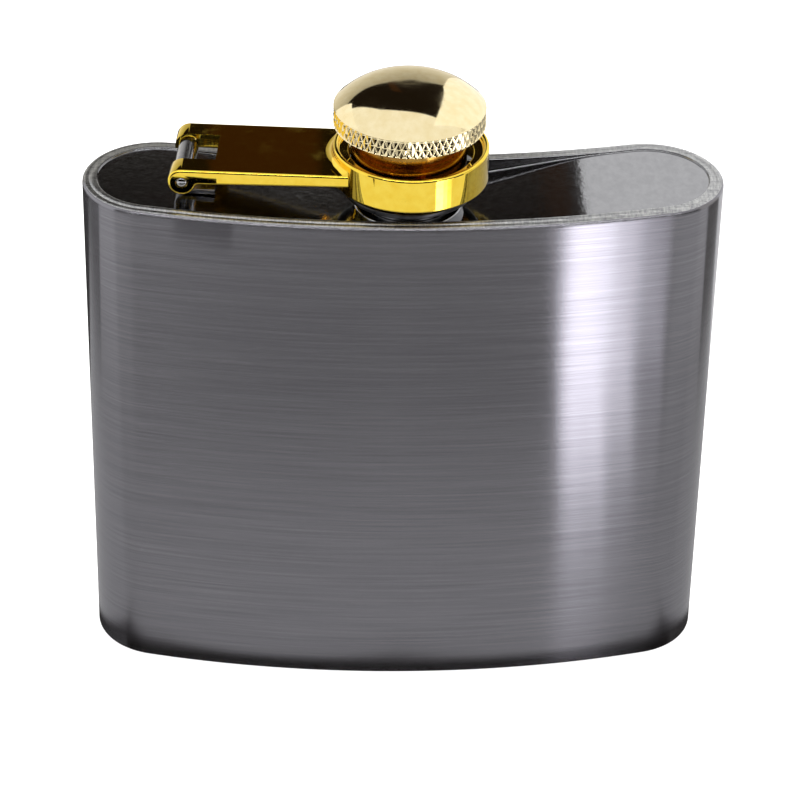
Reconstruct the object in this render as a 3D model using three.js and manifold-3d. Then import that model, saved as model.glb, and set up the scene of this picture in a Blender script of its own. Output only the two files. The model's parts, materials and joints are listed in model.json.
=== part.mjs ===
// Kidney-shaped pocket flask with a captive screw cap on a hinged arm.
// Millimetres, +Z up. +X is to the right of the person who looks at the convex front, and the
// front faces -Y. The origin is under the middle of the whole object, on the surface it stands on.

import * as THREE from "three";
import { mergeVertices } from "three/addons/utils/BufferGeometryUtils.js";
import Module from "manifold-3d";

const wasm = await Module();
wasm.setup();

// ---------------------------------------------------------------- driving dimensions

// The kidney outline: a convex front arc, a concave back arc and two round ends.
const BODY_WIDTH = 94;
const BODY_HEIGHT = 79.7;
const FRONT_RADIUS = 161;
const BACK_RADIUS = 158;
const END_RADIUS = 10.8;
const OUTLINE_STEPS = 12;

const SHELL_WALL = 0.9;
const PLATE_THICKNESS = 0.8;
const PLATE_FLANGE = 1.2;
const SEAM_GAP = 0.05;

// The top plate is almost flush with the rim at its ends and dips around the neck.
const TOP_EDGE_RECESS = 0.25;
const TOP_DIP = 2.75;
const TOP_DIP_HALF_LENGTH = 32;
const BASE_RECESS = 2;

// The neck, and the cap that closes it.
const NECK_X = 0.45;
const NECK_BORE = 5.4;
const NECK_ROOT = 6.6;
const NECK_CREST = 7;
const NECK_TOP = 88.3;
const NECK_SHOULDER_RADIUS = 8;
const NECK_SHOULDER_HEIGHT = 1.1;
const THREAD_PITCH = 2;
const THREAD_TURNS = 3;

const SLEEVE_BORE = 7.6;
const SLEEVE_RADIUS = 8.4;
const SLEEVE_BOTTOM = 80.3;
const SLEEVE_TOP = 94;
const SLEEVE_CEILING = 90.4;
const SLEEVE_ROOF = 1.6;

const HEAD_RADIUS = 11;
const KNURL_BOTTOM = 91;
const KNURL_HEIGHT = 2.7;
const DOME_HEIGHT = 3.6;
const DOME_FLATNESS = 3.2;
const HEAD_BEAD_RADIUS = 9.6;
const HEAD_BEAD_HEIGHT = 0.7;
const HEAD_SOCKET_TOP = 94.3;

const GASKET_RADIUS = 7.3;
const GASKET_THICKNESS = 1.5;
const RETAINER_RADIUS = 9.6;
const RETAINER_THICKNESS = 0.8;
const REST_GAP = 0.3;
const FIT_GAP = 0.15;

// The hinge is measured from the neck's axis, and it is welded on a little askew around it.
const HINGE_YAW = -4.2 * Math.PI / 180;
const PIN_X = -32.25;
const PIN_Z = 83.65;
const PIN_RADIUS = 0.7;
const PIN_LENGTH = 14.8;

// The arm, in its own frame: the hinge pin is its origin and it points along +X.
const ARM_WIDTH = 14.6;
const ARM_SHEET = 0.7;
const EAR_RADIUS = 2;
const EAR_HOLE_RADIUS = 0.88;
const FLANGE_BOTTOM = -0.3;
const FLANGE_BOTTOM_AT_COLLAR = 0.15;
const NOTCH_WIDTH = 7.3;
const NOTCH_END = 4.6;

const COLLAR_RADIUS = 11.3;
const COLLAR_HEIGHT = 5.25;
const COLLAR_LIP_BORE = 10.5;
const COLLAR_BORE = 10.3;
const COLLAR_LEDGE_BORE = 9;
const COLLAR_LEDGE_TOP = 1.6;
const COLLAR_LEDGE_BOTTOM = 0.8;
const COLLAR_CENTRE_Z = 1.3;
const COLLAR_OFFSET = 0.3;
const COLLAR_X = COLLAR_OFFSET - PIN_X;
const SADDLE_THICKNESS = 0.7;
const SADDLE_RISE = 1;

// The bracket that holds the pin, measured from the neck's axis: a foot on the top plate, a web
// and a rolled knuckle.
const BRACKET_WIDTH = 6.5;
const BRACKET_SHEET = 0.9;
const BRACKET_FOOT_BOTTOM = BODY_HEIGHT - 0.1;
const BRACKET_FOOT_RIGHT = -27.85;
const KNUCKLE_RADIUS = 1.5;
const KNUCKLE_BORE = 0.75;

const ROUND_STEPS = 48;
const SMALL_ROUND_STEPS = 24;

// ---------------------------------------------------------------- finishes

const FINISHES = {
  gunmetal: { color: 0x55545a, roughness: 0.35, metalness: 1 },
  blackMirror: { color: 0x2c2b30, roughness: 0.08, metalness: 1 },
  steel: { color: 0x8d8f96, roughness: 0.2, metalness: 1 },
  gold: { color: 0xe8bd3c, roughness: 0.1, metalness: 1 },
  paleGold: { color: 0xe6cf94, roughness: 0.12, metalness: 1 },
  silicone: { color: 0xd9d7d0, roughness: 0.6, metalness: 0 },
};

// ---------------------------------------------------------------- solids

// Merges the shared corners of a closed geometry and drops triangles with no area.
function toSolid(geometry) {
  const bare = geometry.clone();
  bare.deleteAttribute("normal");
  bare.deleteAttribute("uv");
  const merged = mergeVertices(bare, 1e-4);
  const index = merged.index.array;
  const kept = [];
  for (let i = 0; i < index.length; i += 3) {
    const [a, b, c] = [index[i], index[i + 1], index[i + 2]];
    if (a !== b && b !== c && c !== a) kept.push(a, b, c);
  }
  return new wasm.Manifold(new wasm.Mesh({
    numProp: 3,
    vertProperties: new Float32Array(merged.attributes.position.array),
    triVerts: new Uint32Array(kept),
  }));
}

function toGeometry(solid) {
  const mesh = solid.getMesh();
  const geometry = new THREE.BufferGeometry();
  geometry.setAttribute("position", new THREE.BufferAttribute(mesh.vertProperties, 3));
  geometry.setIndex(new THREE.BufferAttribute(mesh.triVerts, 1));
  geometry.computeVertexNormals();
  return geometry;
}

function addPiece(group, name, finish, solid) {
  const mesh = new THREE.Mesh(toGeometry(solid), new THREE.MeshStandardMaterial(FINISHES[finish]));
  mesh.name = name;
  group.add(mesh);
}

// A box given by its low and high corners.
function box(low, high) {
  const size = high.map((value, axis) => value - low[axis]);
  const geometry = new THREE.BoxGeometry(...size);
  geometry.translate(...low.map((value, axis) => value + size[axis] / 2));
  return toSolid(geometry);
}

// An upright cylinder around (x, 0).
function cylinder(radius, low, high, x = 0) {
  const geometry = new THREE.CylinderGeometry(radius, radius, high - low, ROUND_STEPS);
  geometry.rotateX(Math.PI / 2);
  geometry.translate(x, 0, (low + high) / 2);
  return toSolid(geometry);
}

// A cylinder that lies along Y around (x, z).
function crossCylinder(radius, length, x = 0, z = 0) {
  const geometry = new THREE.CylinderGeometry(radius, radius, length, SMALL_ROUND_STEPS);
  geometry.translate(x, 0, z);
  return toSolid(geometry);
}

// Turns a profile of [radius, z] points about the vertical line through x. The points run up the
// outside and down the inside, and the profile is closed by its first point unless it ends on the
// axis.
function turned(profile, x = 0) {
  const points = profile.map(([radius, z]) => new THREE.Vector2(radius, z));
  if (profile[0][0] > 0) points.push(points[0].clone());
  const geometry = new THREE.LatheGeometry(points, ROUND_STEPS);
  geometry.rotateX(Math.PI / 2);
  geometry.translate(x, 0, 0);
  return toSolid(geometry);
}

// Extrudes a shape drawn in X and Y upwards from low to high.
function upright(shape, low, high) {
  const geometry = new THREE.ExtrudeGeometry(shape, {
    depth: high - low,
    curveSegments: OUTLINE_STEPS,
    bevelEnabled: false,
  });
  geometry.translate(0, 0, low);
  return toSolid(geometry);
}

// Extrudes a side view drawn in X and Z along Y, centred on the middle plane.
function sideways(shape, width) {
  const geometry = new THREE.ExtrudeGeometry(shape, {
    depth: width,
    curveSegments: OUTLINE_STEPS,
    bevelEnabled: false,
  });
  geometry.rotateX(Math.PI / 2);
  geometry.translate(0, width / 2, 0);
  return toSolid(geometry);
}

// ---------------------------------------------------------------- kidney outline

// Centres of the arcs, with y = 0 at half the thickness in the middle of the body.
const KIDNEY = (() => {
  const endX = BODY_WIDTH / 2 - END_RADIUS;
  const endBelowFront = Math.sqrt((FRONT_RADIUS - END_RADIUS) ** 2 - endX ** 2);
  const endBelowBack = Math.sqrt((BACK_RADIUS + END_RADIUS) ** 2 - endX ** 2);
  const thickness = endBelowBack - BACK_RADIUS - endBelowFront + FRONT_RADIUS;
  const frontY = FRONT_RADIUS - thickness / 2;
  const endY = frontY - endBelowFront;
  return {
    endX,
    endY,
    frontY,
    backY: endY + endBelowBack,
    frontSpread: Math.atan2(endX, endBelowFront),
    backSpread: Math.atan2(endX, endBelowBack),
    lowY: -thickness / 2,
    highY: endY + END_RADIUS,
  };
})();

// The outline moved inwards by inset, as a path that runs anticlockwise.
function kidney(inset, Path = THREE.Shape) {
  const { endX, endY, frontY, backY, frontSpread, backSpread } = KIDNEY;
  const down = -Math.PI / 2;
  const up = Math.PI / 2;
  const path = new Path();
  path.absarc(0, frontY, FRONT_RADIUS - inset, down - frontSpread, down + frontSpread, false);
  path.absarc(endX, endY, END_RADIUS - inset, down + frontSpread, up + backSpread, false);
  path.absarc(0, backY, BACK_RADIUS + inset, down + backSpread, down - backSpread, true);
  path.absarc(-endX, endY, END_RADIUS - inset, up - backSpread, 2 * Math.PI + down - frontSpread, false);
  return path;
}

// ---------------------------------------------------------------- top plate surface

function topPlateHeight(x) {
  const edge = BODY_HEIGHT - TOP_EDGE_RECESS;
  if (Math.abs(x) >= TOP_DIP_HALF_LENGTH) return edge;
  return edge - TOP_DIP * (1 + Math.cos(Math.PI * x / TOP_DIP_HALF_LENGTH)) / 2;
}

// The space above the top plate's surface, lowered by drop, as a side view extruded along Y.
function aboveTopPlate(drop) {
  const steps = 32;
  const shape = new THREE.Shape();
  shape.moveTo(-BODY_WIDTH, topPlateHeight(-BODY_WIDTH) - drop);
  for (let i = 0; i <= steps; i += 1) {
    const x = TOP_DIP_HALF_LENGTH * (2 * i / steps - 1);
    shape.lineTo(x, topPlateHeight(x) - drop);
  }
  shape.lineTo(BODY_WIDTH, topPlateHeight(BODY_WIDTH) - drop);
  shape.lineTo(BODY_WIDTH, BODY_HEIGHT + 1);
  shape.lineTo(-BODY_WIDTH, BODY_HEIGHT + 1);
  shape.closePath();
  return sideways(shape, BODY_WIDTH);
}

// ---------------------------------------------------------------- flask body

// The wrapped side wall, open at the top and the bottom.
function bodyShell() {
  const wall = kidney(0);
  wall.holes.push(kidney(SHELL_WALL, THREE.Path));
  return upright(wall, 0, BODY_HEIGHT);
}

// The pressed top plate, with an upturned flange all round and the hole for the neck.
function topPlate() {
  const edge = SHELL_WALL + SEAM_GAP;
  const lowest = topPlateHeight(0) - PLATE_THICKNESS;
  const blank = upright(kidney(edge), lowest - 1, BODY_HEIGHT).intersect(aboveTopPlate(PLATE_THICKNESS));
  const pocket = upright(kidney(edge + PLATE_FLANGE), lowest - 1, BODY_HEIGHT + 1);
  const hole = cylinder(NECK_ROOT + SEAM_GAP, lowest - 2, BODY_HEIGHT + 2, NECK_X);
  return blank.subtract(pocket.intersect(aboveTopPlate(0))).subtract(hole);
}

// The pressed base plate, set up inside the wall so that the flask stands on its rim.
function basePlate() {
  const edge = SHELL_WALL + SEAM_GAP;
  const blank = upright(kidney(edge), 0, BASE_RECESS + PLATE_THICKNESS);
  return blank.subtract(upright(kidney(edge + PLATE_FLANGE), -1, BASE_RECESS));
}

// The spout, with a shoulder that stands on the top plate and thread crests as plain rings.
function neck() {
  const shoulderBottom = topPlateHeight(NECK_SHOULDER_RADIUS + NECK_X) + SEAM_GAP;
  const shoulderTop = shoulderBottom + NECK_SHOULDER_HEIGHT;
  const profile = [
    [NECK_ROOT, topPlateHeight(0) - PLATE_THICKNESS],
    [NECK_ROOT, shoulderBottom],
    [NECK_SHOULDER_RADIUS, shoulderBottom],
    [NECK_SHOULDER_RADIUS, shoulderTop],
    [NECK_ROOT, shoulderTop],
  ];
  const firstCrest = NECK_TOP - 0.5 - THREAD_TURNS * THREAD_PITCH;
  for (let turn = 0; turn < THREAD_TURNS; turn += 1) {
    const base = firstCrest + turn * THREAD_PITCH;
    profile.push([NECK_ROOT, base]);
    profile.push([NECK_CREST, base + THREAD_PITCH * 0.3]);
    profile.push([NECK_CREST, base + THREAD_PITCH * 0.45]);
    profile.push([NECK_ROOT, base + THREAD_PITCH * 0.75]);
  }
  profile.push([NECK_ROOT, NECK_TOP]);
  profile.push([NECK_BORE, NECK_TOP]);
  profile.push([NECK_BORE, topPlateHeight(0) - PLATE_THICKNESS]);
  return turned(profile, NECK_X);
}

function hingeBracket() {
  const half = BRACKET_WIDTH / 2;
  const left = PIN_X - KNUCKLE_RADIUS;
  const footTop = BRACKET_FOOT_BOTTOM + BRACKET_SHEET;
  const foot = box([left, -half, BRACKET_FOOT_BOTTOM], [BRACKET_FOOT_RIGHT, half, footTop]);
  const web = box([left, -half, BRACKET_FOOT_BOTTOM], [left + BRACKET_SHEET, half, PIN_Z]);
  const knuckle = crossCylinder(KNUCKLE_RADIUS, BRACKET_WIDTH, PIN_X, PIN_Z);
  const bore = crossCylinder(KNUCKLE_BORE, BRACKET_WIDTH + 1, PIN_X, PIN_Z);
  return foot.add(web).add(knuckle).subtract(bore);
}

// ---------------------------------------------------------------- arm

// The stamped strap: a channel with its sides turned down, two round ears for the pin, a notch
// that clears the bracket, and an end turned up against the collar.
function armStrap() {
  const reach = COLLAR_X - COLLAR_RADIUS / 2;
  const outside = new THREE.Shape();
  outside.moveTo(reach, EAR_RADIUS);
  outside.lineTo(0, EAR_RADIUS);
  outside.absarc(0, 0, EAR_RADIUS, Math.PI / 2, 2 * Math.PI + Math.asin(FLANGE_BOTTOM / EAR_RADIUS), false);
  outside.lineTo(reach, FLANGE_BOTTOM_AT_COLLAR);
  outside.closePath();

  const innerRadius = EAR_RADIUS - ARM_SHEET;
  const below = -2 * EAR_RADIUS;
  const channel = new THREE.Shape();
  channel.moveTo(reach + 1, innerRadius);
  channel.lineTo(0, innerRadius);
  channel.absarc(0, 0, innerRadius, Math.PI / 2, Math.PI, false);
  channel.lineTo(below, 0);
  channel.lineTo(below, below);
  channel.lineTo(reach + 1, below);
  channel.closePath();

  const clearance = COLLAR_RADIUS + REST_GAP;
  const saddleTop = EAR_RADIUS + SADDLE_RISE;
  const saddleBottom = EAR_RADIUS - ARM_SHEET;
  const saddle = cylinder(clearance + SADDLE_THICKNESS, saddleBottom, saddleTop, COLLAR_X)
    .intersect(box([0, -ARM_WIDTH / 2, saddleBottom], [COLLAR_X, ARM_WIDTH / 2, saddleTop]));
  const notch = box([below, -NOTCH_WIDTH / 2, below], [NOTCH_END, NOTCH_WIDTH / 2, saddleTop]);
  return sideways(outside, ARM_WIDTH)
    .subtract(sideways(channel, ARM_WIDTH - 2 * ARM_SHEET))
    .add(saddle)
    .subtract(notch)
    .subtract(crossCylinder(EAR_HOLE_RADIUS, ARM_WIDTH + 1))
    .subtract(cylinder(clearance, below, saddleTop + 1, COLLAR_X));
}

// The ring around the cap, with an inner ledge that the cap hangs from when the arm is open.
function capCollar() {
  const low = COLLAR_CENTRE_Z - COLLAR_HEIGHT / 2;
  const high = COLLAR_CENTRE_Z + COLLAR_HEIGHT / 2;
  const ring = turned([
    [COLLAR_RADIUS, low],
    [COLLAR_RADIUS, high],
    [COLLAR_LIP_BORE, high],
    [COLLAR_LIP_BORE, COLLAR_CENTRE_Z + COLLAR_LEDGE_TOP],
    [COLLAR_LEDGE_BORE, COLLAR_CENTRE_Z + COLLAR_LEDGE_TOP],
    [COLLAR_LEDGE_BORE, COLLAR_CENTRE_Z + COLLAR_LEDGE_BOTTOM],
    [COLLAR_BORE, COLLAR_CENTRE_Z + COLLAR_LEDGE_BOTTOM],
    [COLLAR_BORE, low],
  ]);
  return ring.rotate([0, 0, -THREE.MathUtils.radToDeg(HINGE_YAW)]).translate([COLLAR_X, 0, 0]);
}

// ---------------------------------------------------------------- cap

// The domed head, with a flat edge where the knurling is and a small bead under it.
function capHead() {
  const knurlTop = KNURL_BOTTOM + KNURL_HEIGHT;
  const beadBottom = KNURL_BOTTOM - HEAD_BEAD_HEIGHT;
  const profile = [
    [SLEEVE_RADIUS + FIT_GAP, beadBottom],
    [HEAD_BEAD_RADIUS, beadBottom],
    [HEAD_BEAD_RADIUS, KNURL_BOTTOM],
    [HEAD_RADIUS, KNURL_BOTTOM],
    [HEAD_RADIUS, knurlTop],
  ];
  const steps = 8;
  for (let i = 1; i <= steps; i += 1) {
    const radius = HEAD_RADIUS * (1 - i / steps);
    profile.push([radius, knurlTop + DOME_HEIGHT * (1 - (radius / HEAD_RADIUS) ** DOME_FLATNESS)]);
  }
  const socket = cylinder(SLEEVE_RADIUS + FIT_GAP, beadBottom - 1, HEAD_SOCKET_TOP, NECK_X);
  return turned([[0, beadBottom], ...profile.slice(1)], NECK_X).subtract(socket);
}

// The threaded sleeve that screws down over the neck, closed by a roof under the head.
function capSleeve() {
  return turned([
    [0, SLEEVE_CEILING],
    [SLEEVE_BORE, SLEEVE_CEILING],
    [SLEEVE_BORE, SLEEVE_BOTTOM],
    [SLEEVE_RADIUS, SLEEVE_BOTTOM],
    [SLEEVE_RADIUS, SLEEVE_TOP],
    [SLEEVE_BORE, SLEEVE_TOP],
    [SLEEVE_BORE, SLEEVE_CEILING + SLEEVE_ROOF],
    [0, SLEEVE_CEILING + SLEEVE_ROOF],
  ], NECK_X);
}

// The clip around the foot of the sleeve that keeps the cap in the collar.
function retainingRing() {
  return turned([
    [RETAINER_RADIUS, SLEEVE_BOTTOM],
    [RETAINER_RADIUS, SLEEVE_BOTTOM + RETAINER_THICKNESS],
    [SLEEVE_RADIUS + FIT_GAP, SLEEVE_BOTTOM + RETAINER_THICKNESS],
    [SLEEVE_RADIUS + FIT_GAP, SLEEVE_BOTTOM],
  ], NECK_X);
}

// The loose sealing disc between the mouth of the neck and the sleeve's roof.
function gasket() {
  const low = NECK_TOP + REST_GAP;
  return cylinder(GASKET_RADIUS, low, low + GASKET_THICKNESS, NECK_X);
}

// ---------------------------------------------------------------- assembly

const flask = new THREE.Group();
const collarY = COLLAR_OFFSET * Math.sin(HINGE_YAW);
const lowestY = Math.min(KIDNEY.lowY, collarY - COLLAR_RADIUS);
flask.position.y = -(lowestY + KIDNEY.highY) / 2;

addPiece(flask, "body_shell", "gunmetal", bodyShell());
addPiece(flask, "top_plate", "blackMirror", topPlate());
addPiece(flask, "base_plate", "gunmetal", basePlate());
addPiece(flask, "neck", "steel", neck());

const hinge = new THREE.Group();
hinge.position.x = NECK_X;
hinge.rotation.z = HINGE_YAW;
flask.add(hinge);
addPiece(hinge, "hinge_bracket", "steel", hingeBracket());
addPiece(hinge, "hinge_pin", "steel", crossCylinder(PIN_RADIUS, PIN_LENGTH, PIN_X, PIN_Z));

const arm = new THREE.Group();
arm.position.set(PIN_X, 0, PIN_Z);
hinge.add(arm);
addPiece(arm, "arm_strap", "gold", armStrap());
addPiece(arm, "cap_collar", "gold", capCollar());

addPiece(flask, "cap_head", "paleGold", capHead());
addPiece(flask, "cap_sleeve", "gold", capSleeve());
addPiece(flask, "cap_retaining_ring", "steel", retainingRing());
addPiece(flask, "cap_gasket", "silicone", gasket());

const model = new THREE.Group();
model.add(flask);

export default model;
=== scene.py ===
"""A gunmetal hip flask with a gold captive cap, standing on a pale studio floor."""

import json
import math

import bmesh
import bpy
from mathutils import Matrix, Vector


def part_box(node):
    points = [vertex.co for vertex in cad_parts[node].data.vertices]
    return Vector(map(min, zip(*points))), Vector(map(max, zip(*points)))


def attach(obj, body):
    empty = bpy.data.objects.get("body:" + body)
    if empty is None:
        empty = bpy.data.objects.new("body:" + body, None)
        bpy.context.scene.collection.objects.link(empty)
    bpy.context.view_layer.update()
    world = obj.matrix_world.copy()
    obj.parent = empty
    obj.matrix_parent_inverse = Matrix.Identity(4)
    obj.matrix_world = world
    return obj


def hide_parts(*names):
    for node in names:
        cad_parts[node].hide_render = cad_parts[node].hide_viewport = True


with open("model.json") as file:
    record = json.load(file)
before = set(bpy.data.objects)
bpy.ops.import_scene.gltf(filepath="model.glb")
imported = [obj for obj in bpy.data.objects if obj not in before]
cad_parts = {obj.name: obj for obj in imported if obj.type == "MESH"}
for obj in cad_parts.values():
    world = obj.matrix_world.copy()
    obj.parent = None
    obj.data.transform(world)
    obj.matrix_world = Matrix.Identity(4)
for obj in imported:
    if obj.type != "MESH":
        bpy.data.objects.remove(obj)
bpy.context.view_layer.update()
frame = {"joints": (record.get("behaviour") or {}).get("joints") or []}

# ---------------------------------------------------------------- dimensions, in metres

MM = 0.001

BODY_LOW, BODY_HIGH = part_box("body_shell")
HEIGHT = BODY_HIGH.z
FRONT_RADIUS = 161 * MM
BACK_RADIUS = 158 * MM
END_RADIUS = 10.8 * MM
END_X = BODY_HIGH.x - END_RADIUS
END_BELOW_FRONT = math.sqrt((FRONT_RADIUS - END_RADIUS) ** 2 - END_X**2)
END_BELOW_BACK = math.sqrt((BACK_RADIUS + END_RADIUS) ** 2 - END_X**2)
FRONT_Y = BODY_LOW.y + FRONT_RADIUS
END_Y = FRONT_Y - END_BELOW_FRONT
BACK_Y = END_Y + END_BELOW_BACK
FRONT_SPREAD = math.atan2(END_X, END_BELOW_FRONT)
BACK_SPREAD = math.atan2(END_X, END_BELOW_BACK)

# Insets from the body's outline.
WALL = 0.9 * MM
SEAM = 0.95 * MM
FLANGE_END = 2.15 * MM
PAN_END = END_RADIUS - 0.15 * MM

PLATE_SHEET = 0.8 * MM
TOP_DIP = 2.75 * MM
TOP_EDGE_RECESS = 0.25 * MM
TOP_DIP_HALF_LENGTH = 32 * MM
NECK_HOLE = 6.65 * MM

NECK = sum(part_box("cap_sleeve"), Vector()) / 2
PIN = sum(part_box("hinge_pin"), Vector()) / 2
HINGE_AXIS = frame["joints"][0]["axis"]
YAW = math.atan2(HINGE_AXIS[0], -HINGE_AXIS[1])

# The arm's own frame has the pin as its origin and points along +X.
ARM = Matrix.Translation(PIN) @ Matrix.Rotation(YAW, 4, "Z")
COLLAR = ARM.inverted() @ (sum(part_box("cap_collar"), Vector()) / 2)
COLLAR_RADIUS = 11.3 * MM
COLLAR_HALF = 2.625 * MM
STRAP_TOP = 2 * MM
STRAP_HALF = 7.3 * MM

# ---------------------------------------------------------------- mesh helpers

# How far past a corner its extra points lie, as a share of its radius.
MARGIN = 0.03


def skin(bm, rings, loop=False):
    """Joins closed rings of points with quads. A ring of one point is a pole."""
    rows = [[bm.verts.new(point) for point in ring] for ring in rings]
    pairs = list(zip(rows, rows[1:]))
    if loop:
        pairs.append((rows[-1], rows[0]))
    for low, high in pairs:
        count = max(len(low), len(high))
        for i in range(count):
            j = (i + 1) % count
            corners = [low[i % len(low)], low[j % len(low)], high[j % len(high)], high[i % len(high)]]
            unique = list(dict.fromkeys(corners))
            bm.faces.new(unique)
    return rows


def close_ends(bm, rows):
    """Closes the first and last ring of a skin with one face each."""
    bm.faces.new(rows[0])
    bm.faces.new(rows[-1])


def to_object(bm, name, materials, sharp=35):
    """Makes an object with smooth faces and edges sharper than the angle kept crisp."""
    bmesh.ops.recalc_face_normals(bm, faces=bm.faces)
    mesh = bpy.data.meshes.new(name)
    bm.to_mesh(mesh)
    bm.free()
    for entry in materials:
        mesh.materials.append(entry)
    mesh.shade_smooth()
    mesh.set_sharp_from_angle(angle=math.radians(sharp))
    obj = bpy.data.objects.new(name, mesh)
    bpy.context.scene.collection.objects.link(obj)
    return obj


def apply_modifiers(obj):
    """Makes the modified mesh the object's own."""
    bpy.context.view_layer.update()
    graph = bpy.context.evaluated_depsgraph_get()
    mesh = bpy.data.meshes.new_from_object(obj.evaluated_get(graph))
    obj.modifiers.clear()
    obj.data = mesh


def thicken(obj):
    """Gives a pressed plate its sheet thickness, on the inner side of its surface."""
    solid = obj.modifiers.new("sheet", "SOLIDIFY")
    solid.thickness = PLATE_SHEET
    solid.offset = -1
    solid.use_rim = True
    apply_modifiers(obj)


def place(obj, body, slot, *nodes):
    """Puts the piece on its body, in place of the plain nodes."""
    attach(obj, body)
    if nodes:
        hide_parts(*nodes)


def rounded(corners, steps=5):
    """Rounds the corners (u, v, radius) of a closed outline and returns its points (u, v).

    A point just past each end of a corner keeps the flat parts between them flat in the shading.
    """
    points = []
    for i, (u, v, radius) in enumerate(corners):
        here = Vector((u, v))
        if radius <= 0:
            points.append((u, v))
            continue
        before = (Vector(corners[i - 1][:2]) - here).normalized()
        after = (Vector(corners[(i + 1) % len(corners)][:2]) - here).normalized()
        half = before.angle(after) / 2
        centre = here + (before + after).normalized() * radius / math.sin(half)
        reach = radius / math.tan(half)
        reach_past = reach + MARGIN * radius
        start = here + before * reach - centre
        end = here + after * reach - centre
        first = math.atan2(start.y, start.x)
        points.append(tuple(here + before * reach_past))
        sweep = (math.atan2(end.y, end.x) - first + math.pi) % math.tau - math.pi
        for step in range(steps + 1):
            angle = first + sweep * step / steps
            points.append((centre.x + radius * math.cos(angle), centre.y + radius * math.sin(angle)))
        points.append(tuple(here + after * reach_past))
    return points


def millimetres(corners):
    return [tuple(value * MM for value in corner) for corner in corners]


def circle(centre_x, centre_y, radius, z, segments, shape=None):
    """A level ring of points. shape(angle, z, radius) may change the radius."""
    if radius <= 1e-9:
        return [Vector((centre_x, centre_y, z))]
    ring = []
    for i in range(segments):
        angle = math.tau * i / segments
        reach = shape(angle, z, radius) if shape else radius
        ring.append(Vector((centre_x + reach * math.cos(angle), centre_y + reach * math.sin(angle), z)))
    return ring


def turned(name, outline, materials, segments=192, shape=None, loop=True, sharp=35):
    """A turned piece around the neck's axis, from its half section (radius, z)."""
    bm = bmesh.new()
    rings = [circle(NECK.x, NECK.y, r, z, segments, shape) for r, z in outline]
    skin(bm, rings, loop=loop)
    return to_object(bm, name, materials, sharp)


def swept(bm, path, half_width, thickness, edge):
    """A flat strip that follows a path of (x, z) points, with its width along Y."""
    section = rounded([
        (-half_width, -thickness / 2, edge),
        (half_width, -thickness / 2, edge),
        (half_width, thickness / 2, edge),
        (-half_width, thickness / 2, edge),
    ], 3)
    rings = []
    for i, point in enumerate(path):
        before = Vector(path[max(i - 1, 0)])
        after = Vector(path[min(i + 1, len(path) - 1)])
        along = (after - before).normalized()
        out = Vector((-along.y, along.x))
        rings.append([
            Vector((point[0] + out.x * v, u, point[1] + out.y * v)) for u, v in section
        ])
    rows = skin(bm, rings)
    close_ends(bm, rows)


# ---------------------------------------------------------------- kidney outline

FRONT_STEPS = 96
END_STEPS = 48
RING_COUNT = 2 * (FRONT_STEPS + END_STEPS)


def kidney_arc(index):
    """The arc that a point of the outline is on: its centre, radius, direction and angle.

    Index 0 is the middle of the left end, and the outline runs by the front to the right end.
    """
    half_end = END_STEPS // 2
    down, up = -math.pi / 2, math.pi / 2
    i = (index + half_end) % RING_COUNT
    if i < END_STEPS:
        first, last = up - BACK_SPREAD, math.tau + down - FRONT_SPREAD
        return -END_X, END_Y, END_RADIUS, -1, first + (last - first) * i / END_STEPS
    i -= END_STEPS
    if i < FRONT_STEPS:
        share = 2 * i / FRONT_STEPS - 1
        return 0, FRONT_Y, FRONT_RADIUS, -1, down + FRONT_SPREAD * share
    i -= FRONT_STEPS
    if i < END_STEPS:
        first, last = down + FRONT_SPREAD, up + BACK_SPREAD
        return END_X, END_Y, END_RADIUS, -1, first + (last - first) * i / END_STEPS
    i -= END_STEPS
    share = 1 - 2 * i / FRONT_STEPS
    return 0, BACK_Y, BACK_RADIUS, 1, down + BACK_SPREAD * share


def kidney_point(index, inset, z):
    x, y, radius, side, angle = kidney_arc(index)
    reach = radius + side * inset
    return Vector((x + reach * math.cos(angle), y + reach * math.sin(angle), z))


def kidney_ring(inset, z):
    return [kidney_point(i, inset, z) for i in range(RING_COUNT)]


def plate_height(x):
    edge = HEIGHT - TOP_EDGE_RECESS
    if abs(x) >= TOP_DIP_HALF_LENGTH:
        return edge
    return edge - TOP_DIP * (1 + math.cos(math.pi * x / TOP_DIP_HALF_LENGTH)) / 2


# ---------------------------------------------------------------- materials


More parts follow.
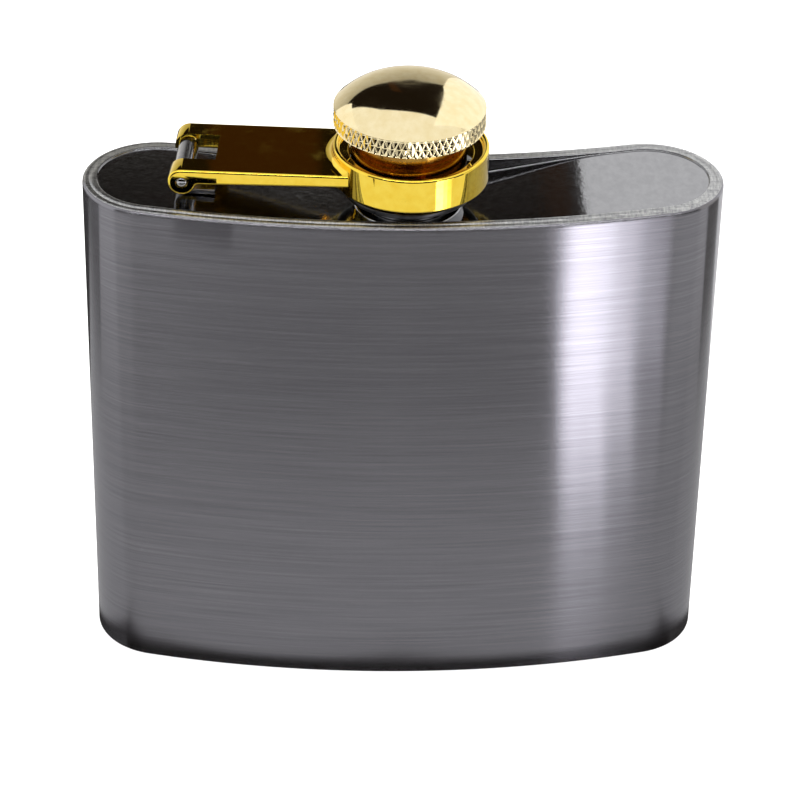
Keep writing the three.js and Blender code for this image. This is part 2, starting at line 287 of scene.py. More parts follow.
class Shader:
    """A principled material with short calls for its procedural nodes."""

    def __init__(self, name, color, roughness, metallic=1.0):
        self.material = bpy.data.materials.new(name)
        self.material.use_nodes = True
        self.nodes = self.material.node_tree.nodes
        self.links = self.material.node_tree.links
        self.bsdf = self.nodes["Principled BSDF"]
        self.bsdf.inputs["Base Color"].default_value = (*color, 1)
        self.bsdf.inputs["Roughness"].default_value = roughness
        self.bsdf.inputs["Metallic"].default_value = metallic
        self.coords = self.nodes.new("ShaderNodeTexCoord").outputs["Object"]

    def noise(self, scale, detail=3, turn=(0, 0, 0), roughness=0.5):
        """Noise with its own scale along X, Y and Z, in features per metre."""
        mapping = self.nodes.new("ShaderNodeMapping")
        mapping.inputs["Scale"].default_value = scale
        mapping.inputs["Rotation"].default_value = turn
        texture = self.nodes.new("ShaderNodeTexNoise")
        texture.inputs["Scale"].default_value = 1
        texture.inputs["Detail"].default_value = detail
        texture.inputs["Roughness"].default_value = roughness
        self.links.new(self.coords, mapping.inputs["Vector"])
        self.links.new(mapping.outputs["Vector"], texture.inputs["Vector"])
        return texture.outputs["Fac"]

    def spread(self, value, low, high, start=0.3, end=0.7):
        """Maps a value between start and end to low and high."""
        node = self.nodes.new("ShaderNodeMapRange")
        for name, number in zip(("From Min", "From Max", "To Min", "To Max"), (start, end, low, high)):
            node.inputs[name].default_value = number
        self.links.new(value, node.inputs["Value"])
        return node.outputs["Result"]

    def colors(self, value, dark, light):
        node = self.nodes.new("ShaderNodeMix")
        node.data_type = "RGBA"
        node.inputs["A"].default_value = (*dark, 1)
        node.inputs["B"].default_value = (*light, 1)
        self.links.new(value, node.inputs["Factor"])
        self.links.new(node.outputs["Result"], self.bsdf.inputs["Base Color"])

    def combine(self, operation, first, second):
        node = self.nodes.new("ShaderNodeMath")
        node.operation = operation
        self.links.new(first, node.inputs[0])
        self.links.new(second, node.inputs[1])
        return node.outputs["Value"]

    def product(self, first, second):
        return self.combine("MULTIPLY", first, second)

    def total(self, first, second):
        return self.combine("ADD", first, second)

    def roughness(self, value):
        self.links.new(value, self.bsdf.inputs["Roughness"])

    def bump(self, value, depth):
        node = self.nodes.new("ShaderNodeBump")
        node.inputs["Strength"].default_value = 1
        node.inputs["Distance"].default_value = depth
        self.links.new(value, node.inputs["Height"])
        self.links.new(node.outputs["Normal"], self.bsdf.inputs["Normal"])


def brushed_gunmetal():
    """Dark plating over a fine horizontal grain, which stretches every highlight upright."""
    shader = Shader("brushed_gunmetal", (0.24, 0.235, 0.255), 0.28)
    shader.bsdf.inputs["Anisotropic"].default_value = 1.0
    shader.bsdf.inputs["Anisotropic Rotation"].default_value = 0.25
    tangent = shader.nodes.new("ShaderNodeTangent")
    tangent.direction_type = "RADIAL"
    tangent.axis = "Z"
    shader.links.new(tangent.outputs["Tangent"], shader.bsdf.inputs["Tangent"])
    grain = shader.noise((45, 45, 5200), 4, roughness=0.7)
    streaks = shader.noise((30, 30, 1800), 2)
    clouds = shader.noise((22, 22, 30), 3)
    shader.colors(shader.spread(grain, 0, 1, 0.25, 0.75), (0.195, 0.19, 0.21), (0.285, 0.28, 0.3))
    shader.roughness(shader.total(shader.spread(streaks, 0.215, 0.235), shader.spread(clouds, -0.01, 0.02)))
    shader.bump(shader.total(grain, shader.spread(streaks, 0, 0.15)), 0.002 * MM)
    return shader.material


def ground_rim():
    """The welded and ground rim: bare metal with coarse scratches across it."""
    shader = Shader("ground_rim", (0.5, 0.5, 0.5), 0.3)
    along = shader.noise((260, 2600, 400), 4, (0, 0, 0.35), 0.75)
    across = shader.noise((3000, 500, 400), 3, (0, 0, -0.6), 0.7)
    scratches = shader.product(along, across)
    shader.colors(shader.spread(scratches, 0, 1, 0.15, 0.36), (0.26, 0.26, 0.27), (0.56, 0.56, 0.55))
    shader.roughness(shader.spread(along, 0.22, 0.4))
    shader.bump(scratches, 0.03 * MM)
    return shader.material


def black_mirror():
    """Polished black nickel, with the faint ripple of polished sheet."""
    shader = Shader("black_mirror", (0.34, 0.34, 0.36), 0.05)
    ripple = shader.noise((1100, 700, 700), 2)
    specks = shader.noise((5200, 5200, 5200), 2)
    shader.roughness(shader.spread(specks, 0.07, 0.13))
    shader.colors(shader.spread(ripple, 0, 1), (0.3, 0.3, 0.31), (0.34, 0.34, 0.35))
    shader.bump(ripple, 0.012 * MM)
    return shader.material


def polished_gold(name, dark, light, rough=0.05):
    """Bright plating with hairline marks and a slight orange peel."""
    shader = Shader(name, light, rough)
    peel = shader.noise((700, 700, 700), 2)
    hairs = shader.noise((300, 5200, 5200), 3, (0.2, 0.4, 0.7), 0.7)
    shader.colors(shader.spread(peel, 0, 1), dark, light)
    smudges = shader.noise((170, 170, 170), 4, roughness=0.65)
    marks = shader.spread(hairs, rough * 0.7, rough * 1.7)
    shader.roughness(shader.total(marks, shader.spread(smudges, 0, 0.1, 0.55, 0.75)))
    shader.bump(shader.total(shader.spread(peel, 0, 0.5), shader.spread(hairs, 0, 0.1)), 0.0012 * MM)
    return shader.material


def polished_steel():
    """Grey steel with fine scratches along the hinge's width."""
    shader = Shader("polished_steel", (0.5, 0.5, 0.53), 0.12)
    hairs = shader.noise((6000, 260, 6000), 3, (0, 0, 0.05), 0.7)
    cloud = shader.noise((500, 500, 500), 2)
    shader.colors(shader.spread(cloud, 0, 1), (0.42, 0.43, 0.47), (0.58, 0.58, 0.6))
    shader.roughness(shader.spread(hairs, 0.08, 0.24))
    shader.bump(hairs, 0.006 * MM)
    return shader.material


def turned_steel():
    """Plain steel with the rings that a lathe leaves."""
    shader = Shader("turned_steel", (0.6, 0.6, 0.62), 0.25)
    rings = shader.noise((60, 60, 6500), 3, roughness=0.7)
    shader.colors(shader.spread(rings, 0, 1), (0.5, 0.5, 0.52), (0.68, 0.68, 0.7))
    shader.roughness(shader.spread(rings, 0.18, 0.34))
    shader.bump(rings, 0.01 * MM)
    return shader.material


def blackened_steel():
    """Spring steel with a dark oxide finish."""
    shader = Shader("blackened_steel", (0.07, 0.07, 0.075), 0.3)
    mottle = shader.noise((900, 900, 900), 3)
    shader.colors(shader.spread(mottle, 0, 1), (0.05, 0.05, 0.055), (0.09, 0.09, 0.095))
    shader.roughness(shader.spread(mottle, 0.25, 0.4))
    shader.bump(mottle, 0.008 * MM)
    return shader.material


def silicone():
    """Off-white rubber with a fine matt grain."""
    shader = Shader("silicone", (0.8, 0.79, 0.75), 0.55, metallic=0)
    grain = shader.noise((2500, 2500, 2500), 4)
    shader.colors(shader.spread(grain, 0, 1), (0.74, 0.73, 0.69), (0.84, 0.83, 0.8))
    shader.roughness(shader.spread(grain, 0.48, 0.66))
    shader.bump(grain, 0.03 * MM)
    return shader.material


# ---------------------------------------------------------------- flask body


def make_wall(wall, rim):
    """The wrapped side wall, with a softened outer edge and the ground weld on top."""
    outline = rounded([
        (0, 0, 0.25 * MM),
        (0, HEIGHT, 0.7 * MM),
        (SEAM, HEIGHT, 0),
        (SEAM, HEIGHT - 0.4 * MM, 0),
        (WALL, HEIGHT - 0.5 * MM, 0),
        (WALL, 0.5 * MM, 0),
        (SEAM, 0.4 * MM, 0),
        (SEAM, 0, 0),
    ])
    bm = bmesh.new()
    skin(bm, [kidney_ring(inset, z) for inset, z in outline], loop=True)
    bm.normal_update()
    level = 0.72
    for face in bm.faces:
        centre = face.calc_center_median()
        if abs(face.normal.z) > level and centre.z > HEIGHT / 2:
            face.material_index = 1
    place(to_object(bm, "body_wall", [wall, rim], 40), "flask", "body_wall", "body_shell")


def plate_section(index):
    """One line of the top plate from the seam inwards: flange, edge, wall, fillet and pan.

    On the pan z is None, because there the height follows from each point's place along X.
    """
    x = kidney_point(index, FLANGE_END, 0).x
    depth = HEIGHT - plate_height(x)
    edge = min(0.15 * MM, 0.45 * depth)
    fillet = min(0.12 * MM, 0.5 * depth)
    line = [(SEAM, HEIGHT), (FLANGE_END - edge, HEIGHT)]
    for step in range(1, 6):
        angle = math.pi / 2 * step / 5
        line.append((FLANGE_END - edge + edge * math.sin(angle), HEIGHT - edge + edge * math.cos(angle)))
    low = HEIGHT - depth
    gap = depth - edge - fillet
    line += [(FLANGE_END, low + fillet + gap * share) for share in (0.85, 0.15)]
    for step in range(7):
        angle = math.pi / 2 * step / 6
        line.append((FLANGE_END + fillet - fillet * math.cos(angle), low + fillet - fillet * math.sin(angle)))
    start = FLANGE_END + fillet + 0.06 * MM
    for step in range(15):
        line.append((start + (PAN_END - start) * step / 14, None))
    points = []
    for inset, z in line:
        point = kidney_point(index, inset, 0)
        point.z = plate_height(point.x) if z is None else z
        points.append(point)
    return points


def close_middle(bm, row):
    """Joins the innermost ring's front and back halves."""
    count = len(row)
    bm.faces.new([row[0], row[1], row[count - 1]])
    for i in range(1, count // 2 - 1):
        bm.faces.new([row[i], row[i + 1], row[count - i - 1], row[count - i]])
    bm.faces.new([row[count // 2 - 1], row[count // 2], row[count // 2 + 1]])


def open_neck_hole(bm):
    """Cuts the hole for the neck and draws its edge in to a true circle."""

    def reach(point):
        return math.hypot(point.x - NECK.x, point.y - NECK.y)

    inside = [face for face in bm.faces if reach(face.calc_center_median()) < NECK_HOLE + 0.2 * MM]
    bmesh.ops.delete(bm, geom=inside, context="FACES")
    for vert in bm.verts:
        if vert.is_boundary and reach(vert.co) < NECK_HOLE + 2 * MM:
            scale = NECK_HOLE / reach(vert.co)
            vert.co.x = NECK.x + (vert.co.x - NECK.x) * scale
            vert.co.y = NECK.y + (vert.co.y - NECK.y) * scale
            vert.co.z = plate_height(vert.co.x)


def make_top_plate(mirror, rim):
    """The pressed top: a ground flange, then the polished pan that dips around the neck."""
    sections = [plate_section(i) for i in range(RING_COUNT)]
    rings = [list(ring) for ring in zip(*sections)]
    bm = bmesh.new()
    rows = skin(bm, rings)
    close_middle(bm, rows[-1])
    for face in bm.faces:
        if min(vert.co.z for vert in face.verts) > HEIGHT - 0.02 * MM:
            face.material_index = 1
    open_neck_hole(bm)
    obj = to_object(bm, "top_pan", [mirror, rim], 60)
    thicken(obj)
    place(obj, "flask", "top_plate", "top_plate")


def make_base_plate(wall):
    """The pressed base, set up inside the rim that the flask stands on."""
    recess = 2 * MM
    edge = 0.3 * MM
    bend = 1 * MM
    line = [(SEAM, 0), (FLANGE_END - edge, 0)]
    for step in range(1, 6):
        angle = math.pi / 2 * step / 5
        line.append((FLANGE_END - edge + edge * math.sin(angle), edge * (1 - math.cos(angle))))
    for step in range(7):
        angle = math.pi / 2 * step / 6
        line.append((FLANGE_END + bend * (1 - math.cos(angle)), recess - bend * (1 - math.sin(angle))))
    start = FLANGE_END + bend
    for step in range(1, 9):
        line.append((start + (PAN_END - start) * step / 8, recess))
    bm = bmesh.new()
    rows = skin(bm, [kidney_ring(inset, z) for inset, z in line])
    close_middle(bm, rows[-1])
    obj = to_object(bm, "base_pan", [wall], 60)
    thicken(obj)
    place(obj, "flask", "base_plate", "base_plate")


def thread(start, end, pitch, depth, sign):
    """A radius change along a right-hand thread, which fades out at its ends."""

    def shape(angle, z, radius):
        if not start < z < end:
            return radius
        phase = ((z - start) / pitch - angle / math.tau) % 1
        crest = max(0.0, min(1.0, 2.2 - abs(phase - 0.5) * 6.5))
        fade = min(1.0, (z - start) / (0.6 * pitch), (end - z) / (0.6 * pitch))
        return radius + sign * depth * crest * fade

    return shape


def make_neck(steel, mirror):
    """The threaded spout, with its foot polished black like the plate that it stands on."""
    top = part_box("neck")[1].z
    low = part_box("neck")[0].z
    root, bore = 6.55 * MM, 5.4 * MM
    black_below = 84.2 * MM
    shoulder = low + 0.75 * MM
    outside = rounded([
        (root, low, 0),
        (root, shoulder, 0),
        (8 * MM, shoulder, 0.15 * MM),
        (8 * MM, shoulder + 1.6 * MM, 0.35 * MM),
        (root, shoulder + 1.6 * MM, 0.2 * MM),
    ])
    threads = [(root, shoulder + 2 * MM + (top - shoulder - 2.4 * MM) * i / 84) for i in range(85)]
    lip = rounded([(root, top, 0.3 * MM), (bore, top, 0.3 * MM), (bore, low, 0)], 4)
    start = top - 6.9 * MM
    shape = thread(start, top - 0.5 * MM, 2 * MM, 0.42 * MM, 1)

    def only_outside(angle, z, radius):
        return shape(angle, z, radius) if radius > 6 * MM else radius

    obj = turned("neck_spout", outside + threads + lip, [steel, mirror], shape=only_outside, segments=128)
    for face in obj.data.polygons:
        if face.center.z < black_below:
            face.material_index = 1
    place(obj, "flask", "neck", "neck")


def arc(centre_x, centre_z, radius, first, last, steps):
    """Points (x, z) along an arc, with its angles in degrees."""
    points = []
    for step in range(steps + 1):
        angle = math.radians(first + (last - first) * step / steps)
        points.append((centre_x + radius * math.cos(angle), centre_z + radius * math.sin(angle)))
    return points


def make_bracket(steel):
    """A strip bent up from its foot on the plate and rolled around the pin."""
    thick = 0.72 * MM
    roll = 1.5 * MM - thick / 2
    bend = 1.0 * MM
    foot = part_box("hinge_bracket")[0].z - PIN.z + thick / 2 + 0.02 * MM
    path = [(4.35 * MM, foot), (3.4 * MM, foot)]
    path += arc(bend - roll, foot + bend, bend, 270, 180, 8)
    path.append((-roll, -1 * MM))
    path += arc(0, 0, roll, 180, -120, 40)
    bm = bmesh.new()
    swept(bm, path, 3.25 * MM, thick, 0.12 * MM)
    bm.transform(ARM)
    obj = to_object(bm, "bracket_strip", [steel], 40)
    place(obj, "flask", "hinge_steel", "hinge_bracket")


def make_pin(steel):
    """A plain pin with lightly domed ends."""
    low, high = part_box("hinge_pin")
    radius = (high.z - low.z) / 2
    half = 7.4 * MM
    bm = bmesh.new()
    rings = []
    for side in (-1, 1):
        dome = []
        for step in range(7):
            angle = math.pi / 2 * step / 6
            dome.append((radius * math.sin(angle), side * (half - 0.22 * MM * (1 - math.cos(angle)))))
        rings += dome if side < 0 else dome[::-1]
    points = []
    for r, along in rings:
        if r <= 1e-9:
            points.append([Vector((0, along, 0))])
            continue
        angles = [math.tau * i / 48 for i in range(48)]
        points.append([Vector((r * math.cos(angle), along, r * math.sin(angle))) for angle in angles])
    skin(bm, points)
    bm.transform(ARM)
    place(to_object(bm, "pin_domed", [steel], 50), "flask", "hinge_steel", "hinge_pin")


# ---------------------------------------------------------------- arm


def side_prism(name, outline, half_width):
    """A solid drawn as a side view (x, z) in the arm's frame, centred on the middle plane."""
    bm = bmesh.new()
    rows = [[bm.verts.new((x, side * half_width, z)) for x, z in outline] for side in (-1, 1)]
    count = len(outline)
    for i in range(count):
        j = (i + 1) % count
        bm.faces.new([rows[0][i], rows[0][j], rows[1][j], rows[1][i]])
    close_ends(bm, rows)
    return to_object(bm, name, [], 30)


def upright_prism(name, x, radius, low, high):
    """A round solid that stands on the arm's middle line."""
    bm = bmesh.new()
    skin(bm, [circle(x, 0, r, z, 160) for r, z in ((0, low), (radius, low), (radius, high), (0, high))])
    return to_object(bm, name, [], 30)


def bevel(obj, width, segments, angle, clamp=True):
    """Rounds the edges that are sharper than the angle."""
    modifier = obj.modifiers.new("edge", "BEVEL")
    modifier.width = width
    modifier.segments = segments
    modifier.limit_method = "ANGLE"
    modifier.angle_limit = math.radians(angle)
    modifier.use_clamp_overlap = clamp
    modifier.miter_outer = "MITER_ARC"
    apply_modifiers(obj)


def cut(obj, cutter):
    """Takes the cutter's shape out of the object and deletes the cutter."""
    modifier = obj.modifiers.new("cut", "BOOLEAN")
    modifier.operation = "DIFFERENCE"
    modifier.object = cutter
    modifier.solver = "EXACT"
    apply_modifiers(obj)
    bpy.data.objects.remove(cutter)


def make_strap(gold):
    """The stamped strap: a channel with turned-down sides and two round ears."""
    sheet = 0.7 * MM
    drop = -0.3 * MM
    drop_at_collar = 0.15 * MM
    reach = COLLAR.x - COLLAR_RADIUS / 2
    start = math.degrees(math.asin(drop / STRAP_TOP))
    outline = [(reach, drop_at_collar), (reach, STRAP_TOP)] + arc(0, 0, STRAP_TOP, 90, 360 + start, 64)
    strap = side_prism("strap_channel", outline, STRAP_HALF)
    bevel(strap, 0.38 * MM, 5, 50, clamp=False)

    inner = STRAP_TOP - sheet
    channel = [(reach + 1 * MM, -5 * MM), (reach + 1 * MM, inner)]
    channel += arc(0, 0, inner, 90, 200, 24) + [(-5 * MM, -0.4 * MM), (-5 * MM, -5 * MM)]
    cut(strap, side_prism("channel", channel, STRAP_HALF - sheet))
    notch = [(-5 * MM, -5 * MM), (4.6 * MM, -5 * MM), (4.6 * MM, 5 * MM), (-5 * MM, 5 * MM)]
    cut(strap, side_prism("notch", notch, 3.65 * MM))
    cut(strap, side_prism("hole", arc(0, 0, 0.88 * MM, 0, 352.5, 47), STRAP_HALF + 1 * MM))
    cut(strap, upright_prism("room", COLLAR.x, COLLAR_RADIUS + 0.02 * MM, -5 * MM, 5 * MM))
    bevel(strap, 0.12 * MM, 3, 35)
    mesh = strap.data
    mesh.transform(ARM)
    mesh.materials.clear()
    mesh.materials.append(gold)
    mesh.shade_smooth()
    mesh.set_sharp_from_angle(angle=math.radians(35))
    weighted = strap.modifiers.new("normals", "WEIGHTED_NORMAL")
    weighted.keep_sharp = True
    weighted.weight = 100
    apply_modifiers(strap)
    place(strap, "arm", "arm_gold", "arm_strap")


def make_far_ear(gold):
    """The strap's far side, which stays as deep as its ear for a few millimetres."""
    corners = [(0.9, -0.25, 0), (0.9, -1.75, 0), (5.6, -1.9, 0.5), (6.2, -0.25, 0)]
    ear = side_prism("far_ear", rounded(millimetres(corners)), 0.34 * MM)
    ear.data.transform(ARM @ Matrix.Translation((0, STRAP_HALF - 0.35 * MM, 0)))
    ear.data.materials.append(gold)
    place(ear, "arm", "arm_gold")


def make_saddle(gold):
    """The concave shoulder that joins the strap's top to the collar."""
    inner = COLLAR_RADIUS + 0.02 * MM
    radius = 1.1 * MM
    base = STRAP_TOP + 0.01 * MM
    section = [(inner - 0.3 * MM, base - 0.5 * MM), (inner + radius, base - 0.5 * MM), (inner + radius, base)]
    for step in range(1, 12):
        angle = math.pi / 2 * step / 12
        section.append((inner + radius - radius * math.sin(angle), base + radius - radius * math.cos(angle)))
    section += [(inner + 0.03 * MM, base + radius), (inner - 0.3 * MM, base + radius + 0.02 * MM)]
    steps = 64
    half = STRAP_HALF - 0.12 * MM
    bm = bmesh.new()
    rings = []
    for i in range(steps + 1):
        share = 2 * i / steps - 1
        ring = []
        for r, z in section:
            angle = math.pi + share * math.asin(half / r)
            ring.append(Vector((COLLAR.x + r * math.cos(angle), r * math.sin(angle), z)))
        rings.append(ring)
    rows = skin(bm, rings)
    close_ends(bm, rows)
    bm.transform(ARM)
    place(to_object(bm, "strap_saddle", [gold], 40), "arm", "arm_gold")


def make_collar(gold):
    """The ring round the cap, with the inner shelf that the cap hangs on."""
    low = COLLAR.z - COLLAR_HALF
    high = COLLAR.z + COLLAR_HALF
    shelf_top = COLLAR.z + 1.6 * MM
    shelf_bottom = COLLAR.z + 0.8 * MM
    outline = rounded([
        (COLLAR_RADIUS, low, 0.25 * MM),
        (COLLAR_RADIUS, high, 0.38 * MM),
        (10.5 * MM, high, 0.38 * MM),
        (10.5 * MM, shelf_top, 0.2 * MM),
        (9 * MM, shelf_top, 0.2 * MM),
        (9 * MM, shelf_bottom, 0.15 * MM),
        (10.3 * MM, shelf_bottom, 0.15 * MM),
        (10.3 * MM, low, 0.2 * MM),
    ], 6)
    bm = bmesh.new()
    skin(bm, [circle(COLLAR.x, 0, r, z, 224) for r, z in outline], loop=True)
    bm.transform(ARM)
    place(to_object(bm, "collar_ring", [gold], 40), "arm", "arm_gold", "cap_collar")


# ---------------------------------------------------------------- cap

KNURL_COUNT = 68
KNURL_COLUMNS = 8


def knurl(low, high):
    """Small pyramids left between two crossed sets of grooves."""

    def shape(angle, z, radius):
        if not low < z < high:
            return radius
        around = angle / math.tau * KNURL_COUNT
        up = (z - low) / (2.4 * MM)
        first = abs((around + up) % 1 - 0.5) * 2
        second = abs((around - up) % 1 - 0.5) * 2
        fade = min(1.0, (high - z) / (0.12 * MM), (z - low) / (0.12 * MM))
        return radius - 0.2 * MM * max(first, second) * fade

    return shape


def make_head(gold):
    """The domed head with the knurled edge and the bead under it."""
    low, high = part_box("cap_head")
    radius = (high.x - low.x) / 2
    bottom = low.z + 0.7 * MM
    top = bottom + 2.7 * MM
    bead = 9.6 * MM
    inner = 8.55 * MM
    socket = top + 0.6 * MM
    under = rounded([
        (0, socket, 0), (inner, socket, 0.2 * MM), (inner, low.z, 0.1 * MM), (bead, low.z, 0.3 * MM),
        (bead, bottom, 0.12 * MM), (radius - 0.35 * MM, bottom, 0),
    ])
    rows = 22
    edge = [(radius, bottom + 0.03 * MM + (top - bottom - 0.06 * MM) * i / rows) for i in range(rows + 1)]
    crown = radius - 0.16 * MM
    spring = top + 0.08 * MM
    dome = []
    for i in range(49):
        share = 1 - (i / 48) ** 1.3
        dome.append((crown * share, spring + (high.z - spring) * (1 - share**3.2)))
    obj = turned(
        "head_knurled", under + edge + dome, [gold], segments=KNURL_COUNT * KNURL_COLUMNS,
        shape=knurl(bottom + 0.01 * MM, top - 0.01 * MM), loop=False, sharp=22,
    )
    place(obj, "cap", "cap_gold", "cap_head")


def make_sleeve(gold):
    """The sleeve with its inside thread and the roof that presses on the gasket."""
    low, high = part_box("cap_sleeve")
    outer = (high.x - low.x) / 2
    bore = 7.6 * MM
    ceiling = 90.4 * MM
    outside = rounded([
        (outer, low.z, 0.2 * MM), (outer, low.z + 2.2 * MM, 0), (outer - 0.15 * MM, low.z + 2.35 * MM, 0),
        (outer - 0.15 * MM, low.z + 2.65 * MM, 0), (outer, low.z + 2.8 * MM, 0), (outer, high.z, 0.2 * MM),
        (bore, high.z, 0.1 * MM), (bore, ceiling + 1.6 * MM, 0.1 * MM), (0, ceiling + 1.6 * MM, 0),
        (0, ceiling, 0), (bore, ceiling, 0),
    ], 4)
    threads = [(bore, ceiling - 0.4 * MM - (ceiling - low.z - 0.8 * MM) * i / 90) for i in range(91)]
    shape = thread(low.z + 0.6 * MM, ceiling - 1.2 * MM, 2 * MM, 0.35 * MM, -1)

    def only_inside(angle, z, radius):
        return shape(angle, z, radius) if radius < outer - 0.4 * MM else radius

    start = outside.index((0, ceiling + 1.6 * MM))
    outline = outside[start + 1:] + threads + [(bore + 0.2 * MM, low.z)] + outside[:start + 1]
    # The gold passed in here is darkened to a brown, as painted shade.
    obj = turned("sleeve_threaded", outline, [gold], segments=144, shape=only_inside, loop=False)
    place(obj, "cap", "sleeve_gold", "cap_sleeve")


def make_retaining_ring(steel):
    """The clip at the foot of the sleeve that keeps the cap in the collar."""
    low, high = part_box("cap_retaining_ring")
    inner = 8.45 * MM
    outer = (high.x - low.x) / 2
    outline = rounded([
        (outer, low.z, 0.25 * MM), (outer, high.z, 0.25 * MM),
        (inner, high.z, 0.15 * MM), (inner, low.z, 0.15 * MM),
    ], 4)
    obj = turned("clip_ring", outline, [steel], segments=128)
    place(obj, "cap", "retaining_ring", "cap_retaining_ring")


def make_gasket(rubber):
    """The sealing disc, with a shallow groove pressed under it."""
    low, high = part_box("cap_gasket")
    radius = (high.x - low.x) / 2
    outline = [(0, low.z)] + rounded([
        (4.6 * MM, low.z, 0), (4.9 * MM, low.z + 0.15 * MM, 0), (6.9 * MM, low.z + 0.15 * MM, 0),
        (7.1 * MM, low.z, 0), (radius, low.z, 0.2 * MM), (radius, high.z, 0.3 * MM),
    ], 4) + [(0, high.z)]
    obj = turned("gasket_disc", outline, [rubber], segments=96, loop=False)
    place(obj, "seal", "gasket", "cap_gasket")


# ---------------------------------------------------------------- studio


def direction(azimuth, elevation):
    """A unit vector. Azimuth 0 points at the photographer and 90 to the right, in degrees."""
    a, e = math.radians(azimuth), math.radians(elevation)
    return Vector((math.sin(a) * math.cos(e), -math.cos(a) * math.cos(e), math.sin(e)))


def make_camera():
    """A long lens from the front and well above."""
    target = Vector((3.57, -1.86, 43.38)) * MM
    distance = 0.49603
    back = direction(-2.79, 33.09)
    right = (-back).cross(Vector((0, 0, 1))).normalized()
    up = right.cross(-back)
    roll = math.radians(1.53)
    across = math.cos(roll) * right + math.sin(roll) * up
    upward = math.cos(roll) * up - math.sin(roll) * right
    data = bpy.data.cameras.new("camera")
    data.lens = 147.4
    data.sensor_width = 36
    data.shift_x = -0.03
    data.clip_start = 0.01
    data.clip_end = 50
    camera = bpy.data.objects.new("camera", data)
    rotation = Matrix((across, upward, back)).transposed()
    camera.matrix_world = Matrix.Translation(target + back * distance) @ rotation.to_4x4()
    bpy.context.scene.collection.objects.link(camera)
    bpy.context.scene.camera = camera


def make_floor():
    """A pale floor that curves up behind the object."""
    bm = bmesh.new()
    half = 6.0
    profile = [(-half, 0), (1.2, 0)]
    for step in range(1, 17):
        angle = math.pi / 2 * step / 16
        profile.append((1.2 + 1.5 * math.sin(angle), 1.5 * (1 - math.cos(angle))))
    profile.append((2.7, 6))
    rows = [[bm.verts.new((x, y, z)) for y, z in profile] for x in (-half, half)]
    for i in range(len(profile) - 1):
        bm.faces.new([rows[0][i], rows[1][i], rows[1][i + 1], rows[0][i + 1]])
    shader = Shader("studio_floor", (0.9, 0.9, 0.9), 0.8, metallic=0)
    shader.bsdf.inputs["Emission Color"].default_value = (1, 1, 1, 1)
    shader.bsdf.inputs["Emission Strength"].default_value = 0.55
    shader.bsdf.inputs["Specular IOR Level"].default_value = 0
    floor = to_object(bm, "studio_floor", [shader.material], 60)
    floor.visible_glossy = False


def make_world():
    """White behind the object and dark in its reflections, like a room around a lit table."""
    world = bpy.data.worlds.new("studio")
    bpy.context.scene.world = world
    world.use_nodes = True
    nodes, links = world.node_tree.nodes, world.node_tree.links
    background = nodes["Background"]
    path = nodes.new("ShaderNodeLightPath")
    mix = nodes.new("ShaderNodeMix")
    mix.data_type = "RGBA"
    mix.inputs["A"].default_value = (1, 1, 1, 1)
    mix.inputs["B"].default_value = (0.011, 0.008, 0.006, 1)
    links.new(path.outputs["Is Glossy Ray"], mix.inputs["Factor"])
    links.new(mix.outputs["Result"], background.inputs["Color"])
    background.inputs["Strength"].default_value = 1


def glow(name, color, low, high, bottom, top):
    """A plain light-giving surface, whose strength runs from low to high over its height."""
    shader = Shader(name, (0, 0, 0), 1, metallic=0)
    shader.bsdf.inputs["Specular IOR Level"].default_value = 0
    shader.bsdf.inputs["Emission Color"].default_value = (*color, 1)
    split = shader.nodes.new("ShaderNodeSeparateXYZ")
    shader.links.new(shader.coords, split.inputs["Vector"])
    strength = shader.spread(split.outputs["Z"], low, high, bottom, top)
    shader.links.new(strength, shader.bsdf.inputs["Emission Strength"])
    return shader.material


def card(name, rows, radiance, color=(1, 1, 1), top_radiance=None):
    """A lit card seen only in reflections: a strip of faces between two rows of points."""
    bm = bmesh.new()
    verts = [[bm.verts.new(point) for point in row] for row in rows]
    for i in range(len(rows[0]) - 1):
        bm.faces.new([verts[0][i], verts[0][i + 1], verts[1][i + 1], verts[1][i]])
    heights = [point[2] for row in rows for point in row]
    upper = radiance if top_radiance is None else top_radiance
    surface = glow(name, color, radiance, upper, min(heights) - 0.001, max(heights) + 0.001)
    obj = to_object(bm, name, [surface])
    obj.visible_camera = False
    obj.visible_diffuse = False
    obj.visible_shadow = False
    obj.visible_transmission = False


def upright_card(name, corners, low, high, radiance, **kind):
    """An upright card over the level points (x, y), from one height to another."""
    card(name, [[(x, y, z) for x, y in corners] for z in (low, high)], radiance, **kind)


def floor_card(name, near, far, radiance):
    """A level card just over the floor, between two lines of points (x, y)."""
    card(name, [[(x, y, 1 * MM) for x, y in line] for line in (near, far)], radiance)


def make_table():
    """The lit table in front of the flask, beyond the dark mat that it stands on."""
    mat = [(-0.145, 0.02), (-0.11, -0.1), (-0.06, -0.135), (-0.02, -0.148), (0.02, -0.149), (0.06, -0.137),
           (0.1, -0.1), (0.145, 0.02)]
    outer = [(-0.4, 0.02), (-0.3, -0.2), (-0.15, -0.28), (-0.05, -0.28), (0.05, -0.28), (0.15, -0.28),
             (0.3, -0.2), (0.4, 0.02)]
    floor_card("table", mat, outer, 0.95)
    # The floor is lit again between the dark ring and the flask.
    near_edge = [(-0.049, 0.06), (-0.048, -0.01), (0, -0.016), (0.048, -0.01), (0.049, 0.06)]
    far_edge = [(-0.14, 0.09), (-0.105, -0.07), (0, -0.092), (0.105, -0.07), (0.14, 0.09)]
    floor_card("near_floor", near_edge, far_edge, 0.62)
    # A small black card below and in front of the hinge darkens the lower half of the ear.
    upright_card("ear_shade", [(-0.0425, -0.029), (-0.031, -0.029)], 0.0682, 0.0719, 0)


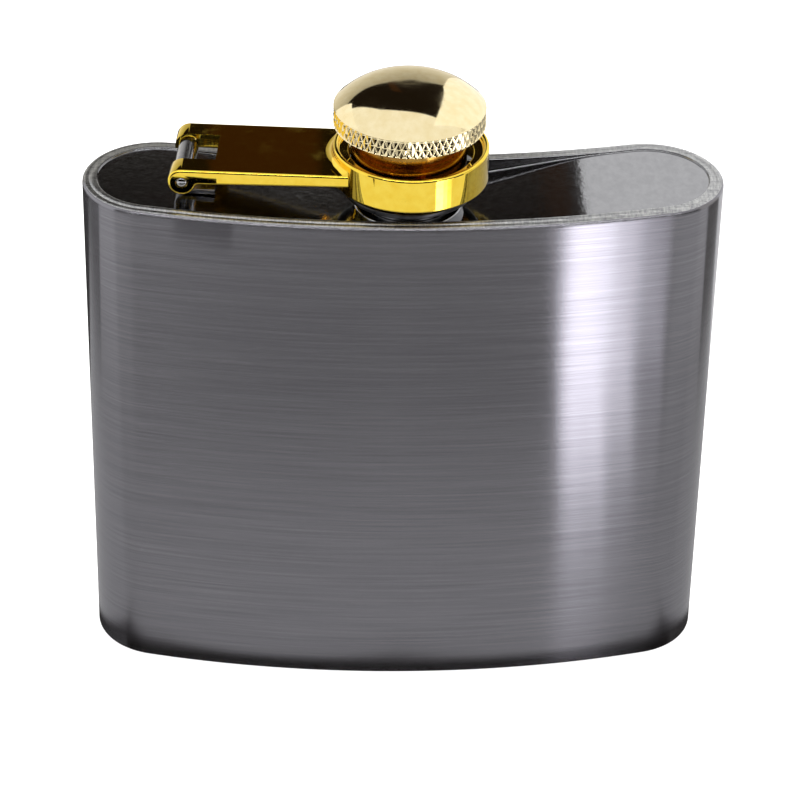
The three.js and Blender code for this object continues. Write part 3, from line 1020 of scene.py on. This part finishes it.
def make_side_card():
    """A bright card close to the right front corner, which dims towards its far edge."""
    near, far = Vector((0.0476, -0.073)), Vector((0.0624, -0.043))
    strips = [(5.5, 0), (5, 5), (3.2, 15), (1.6, 30)]
    for i, (radiance, bottom) in enumerate(strips):
        ends = [near.lerp(far, share / len(strips)) for share in (i, i + 1)]
        upright_card(f"side_card_{i}", ends, bottom * MM, 0.08, radiance, color=(0.96, 0.94, 1))


def make_softboxes():
    """Overhead and side boxes, which leave a dark gap over the back wall."""
    back_edge = [(-2.19, 1.92), (-0.4, 0.44), (0.04, 0.31), (0.41, 0.14), (2.5, 0.14)]
    front_edge = [(-3.5, -1), (-1.5, -1.5), (0, -1.5), (1.2, -1.5), (2.5, -1.5)]
    card("overhead", [[(x, y, 1.1) for x, y in line] for line in (back_edge, front_edge)], 1.0)
    # A white board close behind the right end, which leans over at the top.
    edge = [(0.0275, 0.095, -0.05), (0.0275, 0.095, 0.15), (0.081, 0.031, 0.281), (0.15, -0.05, 0.45)]
    far_edge = [(x + 0.6, y + 0.2, z) for x, y, z in edge]
    card("board", [edge, far_edge], 1.15)
    warm = (1, 0.97, 0.9)
    upright_card("back_wall", [(-2.6, 2.2), (0.9, 2.2)], -0.6, 1.22, 0.95, top_radiance=0.4, color=warm)
    upright_card("brown_wall", [(-0.09, 2.19), (0.01, 2.19)], 1.2, 1.6, 1, color=(0.034, 0.015, 0.006))
    upright_card("left_box", [(-1, -0.5), (-1, 1.2)], -0.3, 0.9, 1.1)
    upright_card("right_box", [(1, -0.25), (1, 1)], -0.3, 0.9, 0.8, color=(1, 0.97, 0.92))
    upright_card("front_box", [(-1, -1), (1, -1)], 0.98, 1.35, 11)


def make_fill():
    """A wide, weak light for the pieces that are not metal."""
    data = bpy.data.lights.new("fill", "AREA")
    data.size = 3
    data.energy = 14
    fill = bpy.data.objects.new("fill", data)
    fill.location = (0, -0.2, 2.2)
    fill.visible_camera = False
    fill.visible_glossy = False
    bpy.context.scene.collection.objects.link(fill)


# ---------------------------------------------------------------- assembly


def build():
    wall = brushed_gunmetal()
    rim = ground_rim()
    mirror = black_mirror()
    gold = polished_gold("arm_gold", (0.9, 0.62, 0.06), (0.95, 0.7, 0.09), 0.03)
    pale = polished_gold("cap_gold", (0.88, 0.73, 0.41), (0.95, 0.82, 0.51), 0.06)
    # The sleeve's gold is darkened to a deep brown: painted shade for the shade under the head and inside the
    # collar.
    sleeve = polished_gold("sleeve_gold", (0.3, 0.15, 0.03), (0.42, 0.24, 0.05), 0.12)
    steel = polished_steel()
    lathe_steel = turned_steel()
    make_wall(wall, rim)
    make_top_plate(mirror, rim)
    make_base_plate(wall)
    make_neck(lathe_steel, mirror)
    make_bracket(steel)
    make_pin(steel)
    make_strap(gold)
    make_far_ear(gold)
    make_saddle(gold)
    make_collar(gold)
    make_head(pale)
    make_sleeve(sleeve)
    make_retaining_ring(blackened_steel())
    make_gasket(silicone())


build()
make_floor()
make_world()
make_fill()
make_table()
make_side_card()
make_softboxes()
make_camera()
bpy.context.scene.view_settings.view_transform = "Standard"
